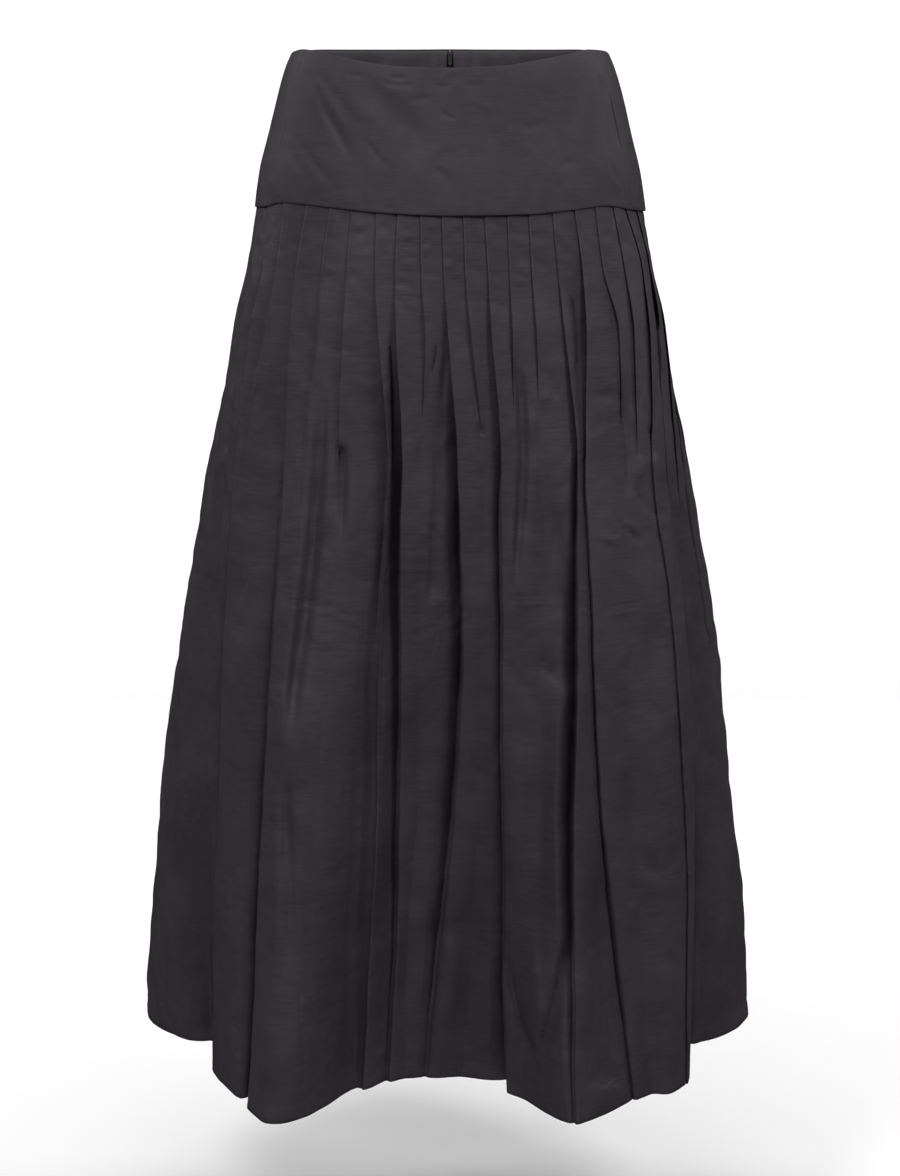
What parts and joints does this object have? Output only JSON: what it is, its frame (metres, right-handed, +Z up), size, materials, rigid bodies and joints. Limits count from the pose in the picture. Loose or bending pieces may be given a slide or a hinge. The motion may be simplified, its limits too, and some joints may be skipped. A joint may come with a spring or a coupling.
{
  "type": "pleated maxi skirt",
  "caption": "Long A-line skirt with a smooth fitted hip yoke and stitched-down knife pleats that release into deep soft folds, held in its worn, hollow form.",
  "frame": {"origin": "middle of the waist, at the height of its sides, where the wearer's waist holds the skirt", "axes": "+Z up out of the waist, the front faces -Y, +X is the wearer's left"},
  "size_m": [0.5427, 0.4887, 0.851],
  "materials": {
    "cloth": "charcoal taffeta with a soft lustre and a fine crosswise rib",
    "zip_tape": "matt woven tape",
    "zip_nylon": "satin",
    "zip_metal": "satin enamel"
  },
  "bodies": {
    "skirt": {"yoke_front": "cloth", "yoke_back_left": "cloth", "yoke_back_right": "cloth", "facing_back_left": "cloth", "facing_back_right": "cloth", "skirt_front": "cloth", "skirt_back_left": "cloth", "skirt_back_right": "cloth", "zip_tape_left": "zip_tape", "zip_tape_right": "zip_tape", "zip_coil": "zip_nylon", "zip_slider": "zip_metal"},
    "pull_tab": {"zip_pull": "zip_metal"}
  },
  "joints": [
    {"name": "pull_swing", "type": "hinge", "parent": "skirt", "child": "pull_tab", "pos_m": [0, 0.09559, -0.0032], "axis": [1, 0, 0], "range_deg": [0, 150]}
  ]
}
